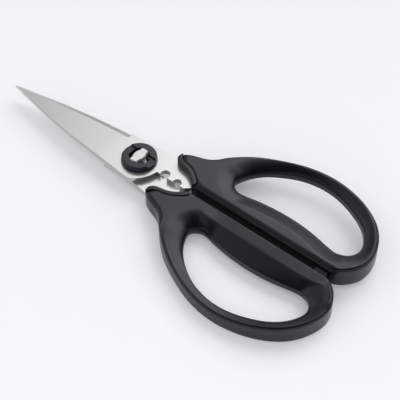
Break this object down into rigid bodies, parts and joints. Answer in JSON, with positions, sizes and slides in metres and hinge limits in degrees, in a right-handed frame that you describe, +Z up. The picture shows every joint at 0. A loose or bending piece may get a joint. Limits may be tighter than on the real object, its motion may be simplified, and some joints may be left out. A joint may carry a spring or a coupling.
{
  "type": "poultry shears",
  "caption": "Closed poultry shears with straight tapering steel blades on a take-apart pivot, bone notches behind the pivot and dark moulded handles with large oval finger loops.",
  "frame": {"origin": "on the pivot axis, in the plane that the shears lie on (underside of the pivot's base cap)", "axes": "+X from the pivot towards the blade tips, +Z up along the pivot axis, +Y towards the lower half's handle"},
  "size_m": [0.2187, 0.0996, 0.014],
  "materials": {
    "blade_steel": "satin, fine grinding grain",
    "stud_steel": "bright tumbled steel",
    "washer_steel": "plain",
    "pivot_plastic": "semi-gloss moulded",
    "washer_nylon": "natural nylon",
    "core_nylon": "moulded",
    "collar_plastic": "satin moulded",
    "grip_rubber": "satin soft-touch",
    "pad_rubber": "matt"
  },
  "bodies": {
    "lower_half": {"lower_blade": "blade_steel", "pivot_stud": "stud_steel", "stud_back_washer": "washer_steel", "pivot_base_cap": "pivot_plastic", "friction_washer": "washer_nylon", "lower_handle_core": "core_nylon", "lower_handle_collar": "collar_plastic", "lower_handle_grip": "grip_rubber", "lower_stop_pad": "pad_rubber"},
    "upper_half": {"upper_blade": "blade_steel", "pivot_cap": "pivot_plastic", "cap_retainer": "washer_steel", "upper_handle_core": "core_nylon", "upper_handle_collar": "collar_plastic", "upper_handle_grip": "grip_rubber", "upper_stop_pad": "pad_rubber"}
  },
  "joints": [
    {"name": "blade_pivot", "type": "hinge", "parent": "lower_half", "child": "upper_half", "pos_m": [0, 0, 0.007], "axis": [0, 0, 1], "range_deg": [0, 90]}
  ]
}
